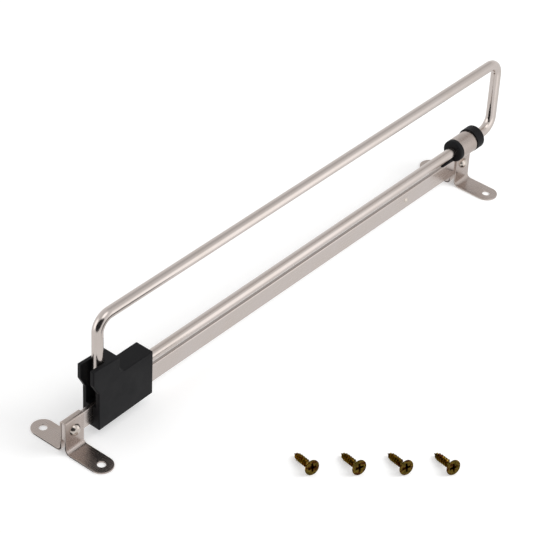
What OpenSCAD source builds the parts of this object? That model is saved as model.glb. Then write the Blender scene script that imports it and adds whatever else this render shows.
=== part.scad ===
// Pull-out valet rod for a wardrobe. A bent wire loop slides along a flat steel bar,
// held by a plastic slider at the back and a plastic bush at the front.
// Two footed brackets carry the bar. +X is the way the loop pulls out, +Z is away
// from the board that the feet are screwed to, and the origin lies on that board,
// midway between the brackets.

/* [Wire loop] */
// Length of the loop over its two upright legs
loop_overall = 450; // [300:5:600]
// Diameter of the wire
rod_d = 8; // [7:0.5:9]
// Height from the lower wire's axis to the upper wire's axis
loop_h = 60; // [50:1:90]
// Radius of the four bends, at the wire's axis
bend_r = 11; // [9:0.5:13]
// Distance from the front bracket's centre to the front leg's axis
front_reach = 36.5; // [32:0.1:60]

/* [Guide bar] */
// Thickness of the flat bar
bar_t = 3.2; // [2.5:0.1:4]
// Height of the flat bar
bar_h = 14.5; // [13:0.5:20]
// Rounding of the bar's long edges
bar_edge_r = 0.8; // [0.4:0.1:1.2]
// Space under the bar, down to the fixing plane
bar_lift = 10.7; // [8:0.1:20]
// How far each bar end stops short of its bracket's outer edge
bar_inset = 0.4; // [0:0.1:3]
// Space between the bar's top edge and the wire above it
rod_gap = 4; // [3.5:0.1:8]

/* [Stop pin] */
// Distance from the front bracket's centre back to the stop pin
stop_back = 71; // [40:1:120]
// Diameter of the stop pin's head
stop_head_d = 4.4; // [3.5:0.1:6]
// Height of the stop pin's domed head
stop_head_h = 1.1; // [0.8:0.1:1.6]
// Diameter of the stop pin's shank
stop_shank_d = 2.8; // [2:0.1:3.2]

/* [Brackets] */
// Width of the bracket strap, along the bar
strap_w = 17; // [14:0.5:24]
// Thickness of the bracket sheet
strap_t = 1.2; // [1:0.1:2]
// Distance from the bar's middle plane to each screw hole
foot_reach = 27; // [22:0.5:40]
// Diameter of the screw holes in the feet
hole_d = 6; // [4.5:0.1:8]
// Inner radius of the bend between upright and foot
foot_bend_r = 3.2; // [1:0.1:6]
// Outer rounding of the rear bracket's two top corners
saddle_r = 1.7; // [1.2:0.1:2]
// Rounding in the corner where the front bracket's band leaves its uprights
band_fillet_r = 1.4; // [0.6:0.1:3]

/* [Rivets] */
// Diameter of the rivet shanks
rivet_d = 4.8; // [3:0.1:6]
// Diameter of the rear rivet's domed head
rear_head_d = 9; // [8:0.1:12]
// Diameter of the front rivet's domed head
front_head_d = 8; // [7.5:0.1:12]
// Height of the domed heads
rivet_head_h = 3.3; // [1.6:0.1:3.7]
// How far the rear rivet sits below the bar's middle
rear_rivet_drop = 1.2; // [0:0.1:3]
// Diameter of the clenched tails
rivet_tail_d = 7.6; // [7:0.1:9]
// Height of the clenched tails
rivet_tail_h = 1.4; // [0.8:0.1:2]

/* [Bush] */
// Wall of the bush between the wire and the bracket's band
bush_wall = 3.4; // [3:0.1:5]
// Length of the rear collar, from the band to its end
rear_collar_l = 4.2; // [2:0.1:8]
// Rounding of the rear collar's outer edge
rear_collar_r = 1.4; // [0.3:0.1:1.8]
// Length of the front collar, from the band to its end
front_collar_l = 8.3; // [4:0.1:12]
// Rounding of the front collar's outer edge
front_collar_r = 0.7; // [0.3:0.1:1.8]
// How far the front collar's top stands above the band
front_collar_rise = 1.2; // [0:0.1:2]
// Length of the tongue that lies on the bar under the wire
tongue_l = 12; // [6:0.5:20]
// Thickness of the tongue at its tip
tongue_tip_t = 0.7; // [0.5:0.1:2]
// Thickness of the tongue where it leaves the collar
tongue_root_t = 3.3; // [2:0.1:3.4]

/* [Slider] */
// Length of the slider's lower part
slider_l = 52; // [45:1:80]
// Width of the slider
slider_w = 15.5; // [14.5:0.5:20]
// Distance from the slider's back end to the rear leg's axis
slider_tail = 6.5; // [5.5:0.1:10]
// Free travel from the rear bracket to the slider in the rest position
home_gap = 9.5; // [6:0.5:30]
// Height of the low roof above the lower wire's axis
roof_h = 11.4; // [9:0.1:14]
// Radius of the inner corner between the low roof and the tall part
roof_fillet = 5; // [1:0.5:10]
// Height of the tall back part above the lower wire's axis, at its back end
tower_h = 26.6; // [22:0.1:30]
// Height of the tall part at its front edge
tower_front_h = 25.4; // [24.5:0.1:30]
// Distance from the rear leg's axis to the front of the tall part
tower_front = 13.4; // [12.4:0.1:20]
// How far the tall part overhangs the slider's back end
overhang = 5; // [2:0.1:6.5]
// Height of the overhang's sloping underside at its outer end, above the wire's axis
overhang_high = 14.8; // [12:0.1:18]
// Height of the overhang's sloping underside at the slider's back end
overhang_low = 5.4; // [3:0.1:10]
// Thickness of the floor that wraps under the bar, at the slider's back end
floor_back_t = 3.3; // [1.5:0.1:4]
// Thickness of that floor at the slider's front end
floor_front_t = 2.1; // [1.5:0.1:4]
// How far each side leans in at the slider's top
side_lean = 0.3; // [0.1:0.1:1]
// Height above the wire's axis where the sides start to lean in
lean_start = 2.8; // [2.7:0.1:5]

/* [Clamp screw] */
// Diameter of the screw that clamps the wire in the slider
clamp_d = 3; // [2:0.1:4]
// Diameter of its pan head
clamp_head_d = 5.2; // [4.5:0.1:5.4]
// Height of its pan head
clamp_head_h = 1.8; // [1.2:0.1:2.5]
// Distance from the rear leg's axis to the clamp screw
clamp_x = 31; // [24:1:40]

/* [Mounting screws] */
// Length of a mounting screw
screw_l = 22; // [18:1:30]
// Outer diameter of its thread
screw_d = 5.5; // [3.5:0.1:6]
// Diameter of its countersunk head
screw_head_d = 11; // [8:0.1:12]
// Distance from one turn of the thread to the next
screw_pitch = 2.3; // [1.4:0.1:3]
// Distance from the rear leg's axis along the bar to the first screw's middle
screw_row_x = 67; // [20:1:200]
// Distance from the bar's middle plane to the first screw's middle
screw_row_y = 123; // [60:1:200]
// Step along the bar from one screw to the next
screw_step_x = 21.3; // [12:0.1:60]
// Step away from the bar from one screw to the next
screw_step_y = 22.7; // [12:0.1:60]

/* [Clearances] */
// Radial clearance of the wire in the bush
bush_clear = 0.08; // [0.02:0.01:0.1]
// Clearance of the slider's slot on the bar, on each face
slot_clear = 0.2; // [0.1:0.05:0.5]
// Clearance of the wire in the slider's tunnel, on each side
tunnel_clear = 0.05; // [0.01:0.01:0.1]
// Clearance beside the rear leg in the slider's open slot
leg_clear = 0.5; // [0.3:0.1:0.7]
// Clearance of rivets, pins and the bush in their seats
seat_clear = 0.03; // [0.01:0.01:0.1]

/* [Hidden] */
$fn = 64;
// Overrun of every cut past the face it opens
eps = 0.5;
// Number of mounting screws, and the direction that their heads point to
screw_count = 4;
screw_heading = -107;
// Shares of the mounting screw: core to thread, rim to head, recess blade and reach to
// head, recess depth to head height, thread crest to pitch
core_share = 0.66;
rim_share = 0.06;
blade_share = 0.15;
recess_share = 0.6;
recess_depth_share = 0.75;
crest_share = 0.6;

// Places along X
loop_l = loop_overall - rod_d;
leg_back = strap_w / 2 + home_gap + slider_tail;
bracket_pitch = loop_l + leg_back - front_reach;
rear_x = -bracket_pitch / 2;
front_x = bracket_pitch / 2;
leg_x = rear_x + leg_back;
stop_x = front_x - stop_back;
// Places along Z
bar_mid_z = bar_lift + bar_h / 2;
bar_top_z = bar_lift + bar_h;
rear_rivet_z = bar_mid_z - rear_rivet_drop;
rod_z = bar_top_z + rod_gap + rod_d / 2;
// Half the thickness of bar and bracket together
grip = bar_t / 2 + strap_t;
// Bush and band
bore_r = rod_d / 2 + bush_clear;
neck_r = bore_r + bush_wall;
band_r = neck_r + strap_t;
// Mounting screws: length of the point, and thickness of the head's rim
tip_l = screw_d;
rim_t = screw_head_d * rim_share;

plated = [0.80, 0.77, 0.74];
black = [0.10, 0.10, 0.11];
bronze = [0.55, 0.42, 0.16];

// Puts an outline drawn as (Y, Z) along X for the given length
module along_x(len) { rotate([90, 0, 90]) linear_extrude(len) children(); }

// Puts an outline drawn as (X, Z) across Y, centred, for the given width
module across_y(w) { rotate([90, 0, 0]) linear_extrude(w, center = true) children(); }

// Turns a solid that stands on +Z so that it points to -Y, at a place on the middle plane
module facing_near(x, z) { translate([x, 0, z]) rotate([90, 0, 0]) children(); }

// Rectangle with rounded corners, centred
module round_rect(w, h, r) {
    square([w - 2 * r, h], center = true);
    square([w, h - 2 * r], center = true);
    for (i = [-1, 1], j = [-1, 1]) translate([i * (w / 2 - r), j * (h / 2 - r)]) circle(r);
}

// Domed cap that stands on the plane Z = 0
module dome(d, h) {
    ball_r = (h * h + d * d / 4) / (2 * h);
    rotate_extrude() intersection() {
        translate([0, h - ball_r]) circle(ball_r);
        square([d / 2, h]);
    }
}

// Flat bar on edge, drilled for both rivets and the stop pin
module guide_bar() {
    bar_l = bracket_pitch + strap_w - 2 * bar_inset;
    color(plated) difference() {
        translate([-bar_l / 2, 0, bar_mid_z]) along_x(bar_l) round_rect(bar_t, bar_h, bar_edge_r);
        for (place = [[rear_x, rear_rivet_z], [front_x, bar_mid_z]])
            facing_near(place.x, place.y) cylinder(h = bar_t + 2 * eps, d = rivet_d, center = true);
        facing_near(stop_x, bar_mid_z) cylinder(h = bar_t + 2 * eps, d = stop_shank_d, center = true);
    }
}

// Pin driven into the bar; its head stops the slider
module stop_pin() {
    color(plated) facing_near(stop_x, bar_mid_z) {
        translate([0, 0, -bar_t / 2]) cylinder(h = bar_t, r = stop_shank_d / 2 - seat_clear);
        translate([0, 0, bar_t / 2]) dome(stop_head_d, stop_head_h);
    }
}

// Outline of one bracket upright with its bend and foot, on the +Y side
module leg_outline(top_z) {
    bend_y = grip + foot_bend_r;
    bend_z = strap_t + foot_bend_r;
    outer_r = foot_bend_r + strap_t;
    translate([bar_t / 2, bend_z]) square([strap_t, top_z - bend_z]);
    translate([bend_y, 0]) square([foot_reach + strap_w / 2 - bend_y, strap_t]);
    translate([bend_y, bend_z]) intersection() {
        difference() {
            circle(outer_r);
            circle(foot_bend_r);
        }
        translate([-outer_r, -outer_r]) square(outer_r);
    }
}

// Strip bent to an outline, with round foot ends and the holes for screws and rivet
module bent_strip(x, rivet_z) {
    difference() {
        intersection() {
            translate([x - strap_w / 2, 0, 0]) along_x(strap_w) children();
            linear_extrude(rod_z + band_r) translate([x, 0]) {
                square([strap_w, 2 * foot_reach], center = true);
                for (side = [-1, 1]) translate([0, side * foot_reach]) circle(strap_w / 2);
            }
        }
        for (side = [-1, 1])
            translate([x, side * foot_reach, -eps]) cylinder(h = strap_t + 2 * eps, d = hole_d);
        facing_near(x, rivet_z) cylinder(h = 2 * (grip + eps), d = rivet_d, center = true);
    }
}

// Saddle over the bar's rear end
module rear_bracket() {
    top_z = bar_top_z + strap_t;
    color(plated) bent_strip(rear_x, rear_rivet_z) difference() {
        union() {
            for (m = [0, 1]) mirror([m, 0]) {
                leg_outline(top_z - saddle_r);
                translate([grip - saddle_r, top_z - saddle_r]) circle(saddle_r);
                translate([0, bar_top_z]) square([grip - saddle_r, strap_t]);
            }
        }
        translate([-bar_t / 2, bar_lift]) square([bar_t, bar_h]);
    }
}

// Fills the corner between the band and an upright
module band_fillet() {
    reach = band_r + band_fillet_r;
    y = grip + band_fillet_r;
    drop = sqrt(reach * reach - y * y);
    difference() {
        polygon([[bar_t / 2, rod_z - drop], [y, rod_z - drop],
                 [y * band_r / reach, rod_z - drop * band_r / reach], [0, rod_z]]);
        translate([y, rod_z - drop]) circle(band_fillet_r);
    }
}

// Band round the bush that closes to two uprights beside the bar
module front_bracket() {
    color(plated) bent_strip(front_x, bar_mid_z) difference() {
        union() {
            for (m = [0, 1]) mirror([m, 0]) {
                leg_outline(rod_z);
                band_fillet();
            }
            translate([0, rod_z]) circle(band_r);
        }
        translate([0, rod_z]) circle(neck_r);
        translate([-bar_t / 2, 0]) square([bar_t, rod_z]);
    }
}

// Rivet through a bracket and the bar: domed near head, clenched far tail
module rivet(x, z, head_d) {
    facing_near(x, z) {
        cylinder(h = 2 * grip, r = rivet_d / 2 - seat_clear, center = true);
        translate([0, 0, grip]) dome(head_d, rivet_head_h);
        mirror([0, 0, 1]) translate([0, 0, grip]) dome(rivet_tail_d, rivet_tail_h);
    }
}

module rear_rivet() { color(plated) rivet(rear_x, rear_rivet_z, rear_head_d); }

module front_rivet() { color(plated) rivet(front_x, bar_mid_z, front_head_d); }

// One collar with a rounded outer edge, not yet bored, standing on the band's edge
module collar(len, r, edge_r) {
    rotate_extrude() {
        square([r, len - edge_r]);
        square([r - edge_r, len]);
        translate([r - edge_r, len - edge_r]) circle(edge_r);
    }
}

// Bush that the wire slides in, with a collar each side of the band
module front_bush() {
    back_x = front_x - strap_w / 2 - rear_collar_l;
    bush_l = rear_collar_l + strap_w + front_collar_l;
    lift = front_collar_rise / 2;
    color(black) {
        difference() {
            union() {
                translate([front_x, 0, rod_z]) rotate([0, 90, 0])
                    cylinder(h = strap_w, r = neck_r - seat_clear, center = true);
                translate([front_x + strap_w / 2, 0, rod_z + lift]) rotate([0, 90, 0])
                    collar(front_collar_l, band_r + lift, front_collar_r);
                translate([front_x - strap_w / 2, 0, rod_z]) rotate([0, -90, 0])
                    collar(rear_collar_l, band_r, rear_collar_r);
            }
            translate([back_x - eps, 0, rod_z]) rotate([0, 90, 0])
                cylinder(h = bush_l + 2 * eps, r = bore_r);
            // the collars straddle the bar
            translate([back_x - eps, -bar_t / 2 - slot_clear, 0])
                cube([bush_l + 2 * eps, bar_t + 2 * slot_clear, bar_top_z]);
        }
        translate([back_x, 0, bar_top_z]) across_y(bar_t)
            polygon([[-tongue_l, 0], [-tongue_l, tongue_tip_t], [0, tongue_root_t],
                     [rear_collar_l / 2, tongue_root_t], [rear_collar_l / 2, 0]]);
    }
}

// A quarter bend of the wire between two directions, on the (X, Z) plane
module wire_bend(x, z, turn) {
    translate([x, 0, z]) rotate([90, 0, 0]) rotate([0, 0, turn])
        rotate_extrude(angle = 90) translate([bend_r, 0]) circle(d = rod_d);
}

// The closed loop of round wire
module rod_loop() {
    back_x = leg_x + bend_r;
    fore_x = leg_x + loop_l - bend_r;
    low_z = rod_z + bend_r;
    high_z = rod_z + loop_h - bend_r;
    color(plated) {
        for (z = [rod_z, rod_z + loop_h])
            translate([back_x, 0, z]) rotate([0, 90, 0]) cylinder(h = fore_x - back_x, d = rod_d);
        for (x = [leg_x, leg_x + loop_l])
            translate([x, 0, low_z]) cylinder(h = high_z - low_z, d = rod_d);
        wire_bend(fore_x, high_z, 0);
        wire_bend(back_x, high_z, 90);
        wire_bend(back_x, low_z, 180);
        wire_bend(fore_x, low_z, 270);
    }
}

// Side outline of the slider, from the rear leg's axis and the lower wire's axis
module slider_outline() {
    slot_low = bar_lift - rod_z - slot_clear;
    front = slider_l - slider_tail;
    polygon([[-slider_tail, slot_low - floor_back_t], [front, slot_low - floor_front_t],
             [front, roof_h], [tower_front, roof_h], [tower_front, tower_front_h],
             [-slider_tail - overhang, tower_h], [-slider_tail - overhang, overhang_high],
             [-slider_tail, overhang_low]]);
    translate([tower_front, roof_h]) difference() {
        square(roof_fillet);
        translate([roof_fillet, roof_fillet]) circle(roof_fillet);
    }
}

// Outline of what is cut off one side above the lean's start
module lean_outline() {
    top = tower_h + eps;
    polygon([[slider_w / 2, lean_start], [slider_w / 2 + eps, lean_start],
             [slider_w / 2 + eps, top], [slider_w / 2 - side_lean, top],
             [slider_w / 2 - side_lean, tower_h]]);
}

// Space for the rear leg, its bend and the lower wire inside the slider
module wire_space() {
    slot_r = rod_d / 2 + leg_clear;
    // the leg's slot opens down to the bar
    slot_bottom = bar_top_z - rod_z;
    slot_top = tower_h + eps;
    back = slider_tail + overhang + eps;
    translate([0, 0, slot_bottom]) cylinder(h = slot_top - slot_bottom, r = slot_r);
    translate([-back, -slot_r, slot_bottom]) cube([back, 2 * slot_r, slot_top - slot_bottom]);
    translate([bend_r, 0, bend_r]) rotate([90, 0, 0]) rotate([0, 0, 180])
        rotate_extrude(angle = 90) translate([bend_r, 0]) circle(slot_r);
    translate([bend_r, 0, 0]) rotate([0, 90, 0])
        cylinder(h = slider_l, r = rod_d / 2 + tunnel_clear);
}

// Plastic block that grips the wire's corner and rides on the bar
module slider_block() {
    slot_w = bar_t + 2 * slot_clear;
    color(black) difference() {
        translate([leg_x, 0, rod_z]) difference() {
            across_y(slider_w) slider_outline();
            wire_space();
            for (m = [0, 1]) mirror([0, m, 0])
                translate([-slider_l, 0, 0]) along_x(2 * slider_l) lean_outline();
            facing_near(clamp_x, 0) translate([0, 0, -slider_w / 2 - eps])
                cylinder(h = slider_w / 2 + eps, d = clamp_d);
        }
        translate([leg_x - slider_tail - eps, -slot_w / 2, bar_lift - slot_clear])
            cube([slider_l + 2 * eps, slot_w, bar_h + 2 * slot_clear]);
    }
}

// Pan-head screw from the far side that bears on the wire
module clamp_screw() {
    tip = rod_d / 2 + seat_clear;
    recess_t = clamp_head_h / 2;
    blade = clamp_d / 4;
    color(plated) translate([leg_x + clamp_x, 0, rod_z]) rotate([-90, 0, 0]) difference() {
        union() {
            translate([0, 0, tip]) cylinder(h = slider_w / 2 - tip, r = clamp_d / 2 - seat_clear);
            translate([0, 0, slider_w / 2]) dome(clamp_head_d, clamp_head_h);
        }
        for (turn = [0, 90]) rotate([0, 0, turn])
            translate([-clamp_d / 2, -blade / 2, slider_w / 2 + clamp_head_h - recess_t])
                cube([clamp_d, blade, recess_t + eps]);
    }
}

// One countersunk wood screw, standing on its tip
module wood_screw() {
    head_r = screw_head_d / 2;
    thread_r = screw_d / 2;
    core_r = thread_r * core_share;
    head_h = head_r - core_r;
    turns = floor((screw_l - head_h - rim_t - tip_l) / screw_pitch);
    blade = screw_head_d * blade_share;
    recess = screw_head_d * recess_share;
    difference() {
        rotate_extrude() polygon(concat(
            [[0, 0], [core_r, tip_l]],
            [for (i = [0:turns - 1], side = [0, 1, 2])
                [side == 1 ? thread_r : core_r, tip_l + screw_pitch * (i + side / 2 * crest_share)]],
            [[core_r, screw_l - rim_t - head_h], [head_r, screw_l - rim_t], [head_r, screw_l],
             [0, screw_l]]));
        for (turn = [0, 90]) rotate([0, 0, turn])
            translate([-recess / 2, -blade / 2, screw_l - head_h * recess_depth_share])
                cube([recess, blade, head_h]);
    }
}

// Four screws, each lying on its head's rim and its first full thread
module mounting_screws() {
    first_crest = tip_l + screw_pitch * crest_share / 2;
    tilt = atan((screw_head_d - screw_d) / 2 / (screw_l - rim_t - first_crest));
    lift = screw_head_d / 2 * cos(tilt) - (screw_l / 2 - rim_t) * sin(tilt);
    color(bronze) for (i = [0:screw_count - 1])
        translate([leg_x + screw_row_x + i * screw_step_x, -screw_row_y - i * screw_step_y, lift])
            rotate([0, 0, screw_heading]) rotate([0, 90 - tilt, 0])
                translate([0, 0, -screw_l / 2]) wood_screw();
}

guide_bar();
stop_pin();
rear_bracket();
rear_rivet();
front_bracket();
front_rivet();
front_bush();
rod_loop();
slider_block();
clamp_screw();
mounting_screws();
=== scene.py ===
"""Looks of a pull-out valet rod for a wardrobe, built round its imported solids.

Lengths are in millimetres and angles in degrees, unless a name or comment says otherwise.
Meshes are made in millimetres and turned to metres when a piece is made.
"""

import logging
import math
from collections.abc import Callable, Iterable, Sequence
from dataclasses import dataclass
from enum import Enum
from typing import ClassVar

import bmesh
import bpy
from mathutils import Matrix, Vector


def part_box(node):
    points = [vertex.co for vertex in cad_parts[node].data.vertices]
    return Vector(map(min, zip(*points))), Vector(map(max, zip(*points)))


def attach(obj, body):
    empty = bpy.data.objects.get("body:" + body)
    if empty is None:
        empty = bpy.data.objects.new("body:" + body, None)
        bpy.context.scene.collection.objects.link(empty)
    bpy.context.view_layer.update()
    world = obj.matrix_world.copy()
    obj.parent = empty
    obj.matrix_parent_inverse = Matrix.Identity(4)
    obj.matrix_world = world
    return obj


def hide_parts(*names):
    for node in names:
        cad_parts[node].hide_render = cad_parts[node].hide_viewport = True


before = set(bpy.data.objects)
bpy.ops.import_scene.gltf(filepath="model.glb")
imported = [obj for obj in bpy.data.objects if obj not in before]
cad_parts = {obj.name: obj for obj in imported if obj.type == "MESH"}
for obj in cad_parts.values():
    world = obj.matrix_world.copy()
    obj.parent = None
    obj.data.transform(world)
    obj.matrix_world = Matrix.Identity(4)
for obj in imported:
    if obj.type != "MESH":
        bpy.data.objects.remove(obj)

LOG = logging.getLogger("valet_rod")
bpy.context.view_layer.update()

MM = 0.001
# Vertices closer than this are one vertex
WELD = 0.0005
# Overrun of every cutter past the face it opens
OVERRUN = 1.0
# Overlap of cutters that meet inside a piece, and rounding of the rims of a square one
CUTTER_LAP = 0.002
CUTTER_RIM = 0.001
# Facets of a full circle and of a rounded edge, and degrees of bend in each facet
ROUND_STEPS = 64
EDGE_STEPS = 3
BEND_STEP = 6.0
# Faces that meet at more than this angle keep a sharp edge between them
SHARP_ANGLE = 35.0

Point2 = tuple[float, float]
Point3 = tuple[float, float, float]
Socket = bpy.types.NodeSocket


# Plane outlines


def arc(centre: Point2, radius: float, start: float, end: float, steps: int) -> list[Point2]:
    """Lays points along an arc.

    Args:
        centre: Centre of the arc.
        radius: Radius of the arc.
        start: Angle of the first point.
        end: Angle of the last point.
        steps: Number of chords.

    Returns:
        The points, both ends included.
    """
    angles = [math.radians(start + (end - start) * i / steps) for i in range(steps + 1)]
    return [(centre[0] + radius * math.cos(a), centre[1] + radius * math.sin(a)) for a in angles]


def ring(centre: Point2, radius: float, clockwise: bool = False) -> list[Point2]:
    """Lays the points of a full circle.

    Args:
        centre: Centre of the circle.
        radius: Radius of the circle.
        clockwise: Whether the points run clockwise, as those of a hole do.

    Returns:
        The points, with no point twice.
    """
    points = arc(centre, radius, 0, 360, ROUND_STEPS)[:-1]
    return points[::-1] if clockwise else points


def rounded(corners: Sequence[Point3], steps: int = EDGE_STEPS) -> list[Point2]:
    """Rounds the corners of a polygon, inner corners too.

    Args:
        corners: Each corner as its two coordinates and its radius.
        steps: Number of chords in each rounded corner.

    Returns:
        The outline's points.
    """
    points: list[Point2] = []
    for i, (x, y, radius) in enumerate(corners):
        here = Vector((x, y))
        back = (Vector(corners[i - 1][:2]) - here).normalized()
        ahead = (Vector(corners[(i + 1) % len(corners)][:2]) - here).normalized()
        half = back.angle(ahead) / 2
        centre = here + (back + ahead).normalized() * radius / math.sin(half)
        first = here + back * radius / math.tan(half) - centre
        turn = first.angle_signed(here + ahead * radius / math.tan(half) - centre)
        for k in range(steps + 1):
            spoke = first.copy()
            spoke.rotate(Matrix.Rotation(-turn * k / steps, 2))
            points.append(tuple(centre + spoke))
    return points


def inset(points: Sequence[Point2], distance: float) -> list[Point2]:
    """Moves each side of a closed outline to its left, which is inwards on a counter-clockwise one.

    Args:
        points: The outline's points.
        distance: How far the sides move.

    Returns:
        The moved points, one for each point given.
    """
    moved: list[Point2] = []
    for i, point in enumerate(points):
        here = Vector(point)
        before = (here - Vector(points[i - 1])).normalized()
        after = (Vector(points[(i + 1) % len(points)]) - here).normalized()
        left, right = Vector((-before.y, before.x)), Vector((-after.y, after.x))
        shift = (left + right) * distance / (1 + left.dot(right))
        moved.append((here.x + shift.x, here.y + shift.y))
    return moved


def dome(radius: float, height: float, base: float) -> list[Point2]:
    """Gives the profile of a domed head from its rim to its crown.

    Args:
        radius: Radius of the rim.
        height: Height of the crown over the rim's underside.
        base: Height of the rim's underside.

    Returns:
        Points as radius and height, from the rim's underside to the axis.
    """
    ball_r = (height * height + radius * radius) / (2 * height)
    half = math.degrees(math.asin(radius / ball_r))
    steps = 3 * EDGE_STEPS
    return arc((0, base + height - ball_r), ball_r, 90 - half, 90, steps)


# Directions and moves


def bearing(azimuth: float, elevation: float) -> Vector:
    """Gives a direction, where azimuth 0 is +X and 90 is +Y, and elevation 90 is straight up.

    Args:
        azimuth: Angle about the Z axis.
        elevation: Angle over the horizon.

    Returns:
        The unit vector.
    """
    a, e = math.radians(azimuth), math.radians(elevation)
    return Vector((math.cos(a) * math.cos(e), math.sin(a) * math.cos(e), math.sin(e)))


def standing(place: Vector, way: Vector) -> Matrix:
    """Gives the move that takes a piece from the Z axis to a place, turned along a direction.

    Args:
        place: Where the origin goes.
        way: Where the Z axis points after the move.

    Returns:
        The move.
    """
    return Matrix.Translation(place) @ way.to_track_quat("Z", "Y").to_matrix().to_4x4()


def facing_near(x: float, z: float) -> Matrix:
    """Gives the move that turns a piece on the Z axis to face -Y, with its axis through the bar.

    Args:
        x: Place of the axis along the bar.
        z: Height of the axis.

    Returns:
        The move.
    """
    return Matrix.Translation((x, 0, z)) @ Matrix.Rotation(math.radians(90), 4, "X")


# Mesh work


def bridge(bm: bmesh.types.BMesh, first: Sequence[bmesh.types.BMVert],
           second: Sequence[bmesh.types.BMVert]) -> None:
    """Joins two closed rings of as many vertices with a band of faces.

    Args:
        bm: The mesh that holds the rings.
        first: One ring.
        second: The other ring.
    """
    for i in range(len(first)):
        bm.faces.new((first[i - 1], first[i], second[i], second[i - 1]))


def cap(bm: bmesh.types.BMesh, rings: Sequence[Sequence[bmesh.types.BMVert]]) -> None:
    """Fills the plane between an outer ring and any rings inside it.

    Args:
        bm: The mesh that holds the rings.
        rings: The outer ring and the rings of its holes.
    """
    edges = [bm.edges.get((loop[i - 1], loop[i])) for loop in rings for i in range(len(loop))]
    bmesh.ops.triangle_fill(bm, use_beauty=True, edges=edges)


def slab(contours: Sequence[Sequence[Point2]], thickness: float,
         edge_r: float) -> bmesh.types.BMesh:
    """Makes a plate with rounded rims, centred on its own middle plane.

    Args:
        contours: The outer outline counter-clockwise, then its holes clockwise.
        thickness: Thickness of the plate.
        edge_r: Rounding of its rims.

    Returns:
        The plate's mesh.
    """
    bm = bmesh.new()
    turns = [math.pi / 2 * i / EDGE_STEPS for i in range(EDGE_STEPS + 1)]
    lower = [(edge_r * (1 - math.sin(a)), edge_r * (1 - math.cos(a)) - thickness / 2) for a in turns]
    profile = lower + [(shift, -height) for shift, height in reversed(lower)]
    rims: list[list[list[bmesh.types.BMVert]]] = []
    for contour in contours:
        rings = [[bm.verts.new((x, y, height)) for x, y in inset(contour, shift)]
                 for shift, height in profile]
        for below, above in zip(rings, rings[1:]):
            bridge(bm, below, above)
        rims.append(rings)
    cap(bm, [rings[0] for rings in rims])
    cap(bm, [rings[-1] for rings in rims])
    return bm


def turned(profile: Sequence[Point2]) -> bmesh.types.BMesh:
    """Turns a profile about the Z axis, as on a lathe.

    Args:
        profile: Points as radius and height, from one end of the piece to the other. It is
            closed by its first and last point, which lie on the axis or on the bore.

    Returns:
        The turned mesh.
    """
    bm = bmesh.new()
    rings: list[list[bmesh.types.BMVert]] = []
    for radius, height in profile:
        rings.append([bm.verts.new((x, y, height)) for x, y in ring((0, 0), radius)])
    for below, above in zip(rings, rings[1:]):
        bridge(bm, below, above)
    if profile[0][0] > WELD:
        bridge(bm, rings[-1], rings[0])
    bmesh.ops.remove_doubles(bm, verts=bm.verts[:], dist=WELD)
    return bm


def around(bm: bmesh.types.BMesh, place: Vector, out: Vector,
           radius: float) -> list[bmesh.types.BMVert]:
    """Lays a ring of vertices round a line on the middle plane.

    Args:
        bm: The mesh that gets the ring.
        place: The ring's centre.
        out: Direction on the middle plane that is square to the line.
        radius: The ring's radius.

    Returns:
        The ring.
    """
    across = Vector((0, 1, 0))
    return [bm.verts.new(place + out * u + across * v) for u, v in ring((0, 0), radius)]


def score(bm: bmesh.types.BMesh, axis: Point3, places: Iterable[float]) -> None:
    """Cuts edges into a mesh across an axis, so that it can bend there.

    Args:
        bm: The mesh.
        axis: Direction across which the cuts lie.
        places: Where the cuts lie along the axis.
    """
    for place in places:
        geometry = bm.verts[:] + bm.edges[:] + bm.faces[:]
        bmesh.ops.bisect_plane(bm, geom=geometry, dist=WELD, plane_no=axis,
                               plane_co=Vector(axis) * place)


def reshape(bm: bmesh.types.BMesh, place: Callable[[Vector], Point3]) -> bmesh.types.BMesh:
    """Moves every vertex by a rule.

    Args:
        bm: The mesh.
        place: Gives a vertex's new place from its old one.

    Returns:
        The same mesh.
    """
    for vertex in bm.verts:
        vertex.co = place(vertex.co.copy())
    return bm


def piece_from(name: str, bm: bmesh.types.BMesh) -> bpy.types.Object:
    """Makes an object in metres from a mesh in millimetres.

    Args:
        name: Name of the piece.
        bm: Its mesh, which is used up.

    Returns:
        The object, linked to the scene.
    """
    bmesh.ops.remove_doubles(bm, verts=bm.verts[:], dist=WELD)
    bmesh.ops.recalc_face_normals(bm, faces=bm.faces[:])
    bm.transform(Matrix.Scale(MM, 4))
    mesh = bpy.data.meshes.new(name)
    bm.to_mesh(mesh)
    bm.free()
    piece = bpy.data.objects.new(name, mesh)
    bpy.context.scene.collection.objects.link(piece)
    return piece


class Carve(Enum):
    """What a tool does to the piece it is used on."""

    AWAY = "DIFFERENCE"
    JOIN = "UNION"


def settle(piece: bpy.types.Object) -> None:
    """Bakes a piece's modifiers into its mesh.

    Args:
        piece: The piece.
    """
    graph = bpy.context.evaluated_depsgraph_get()
    mesh = bpy.data.meshes.new_from_object(piece.evaluated_get(graph))
    piece.modifiers.clear()
    piece.data = mesh


def carve(piece: bpy.types.Object, tools: Iterable[bmesh.types.BMesh], how: Carve) -> None:
    """Cuts tools out of a piece, or joins them to it, and uses the tools up.

    Args:
        piece: The piece.
        tools: Meshes in millimetres.
        how: Whether they are cut away or joined.
    """
    shapes = [piece_from(piece.name + "_tool", tool) for tool in tools]
    for shape in shapes:
        modifier = piece.modifiers.new("carve", "BOOLEAN")
        modifier.operation = how.value
        modifier.solver = "EXACT"
        modifier.object = shape
    settle(piece)
    for shape in shapes:
        bpy.data.objects.remove(shape)


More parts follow.
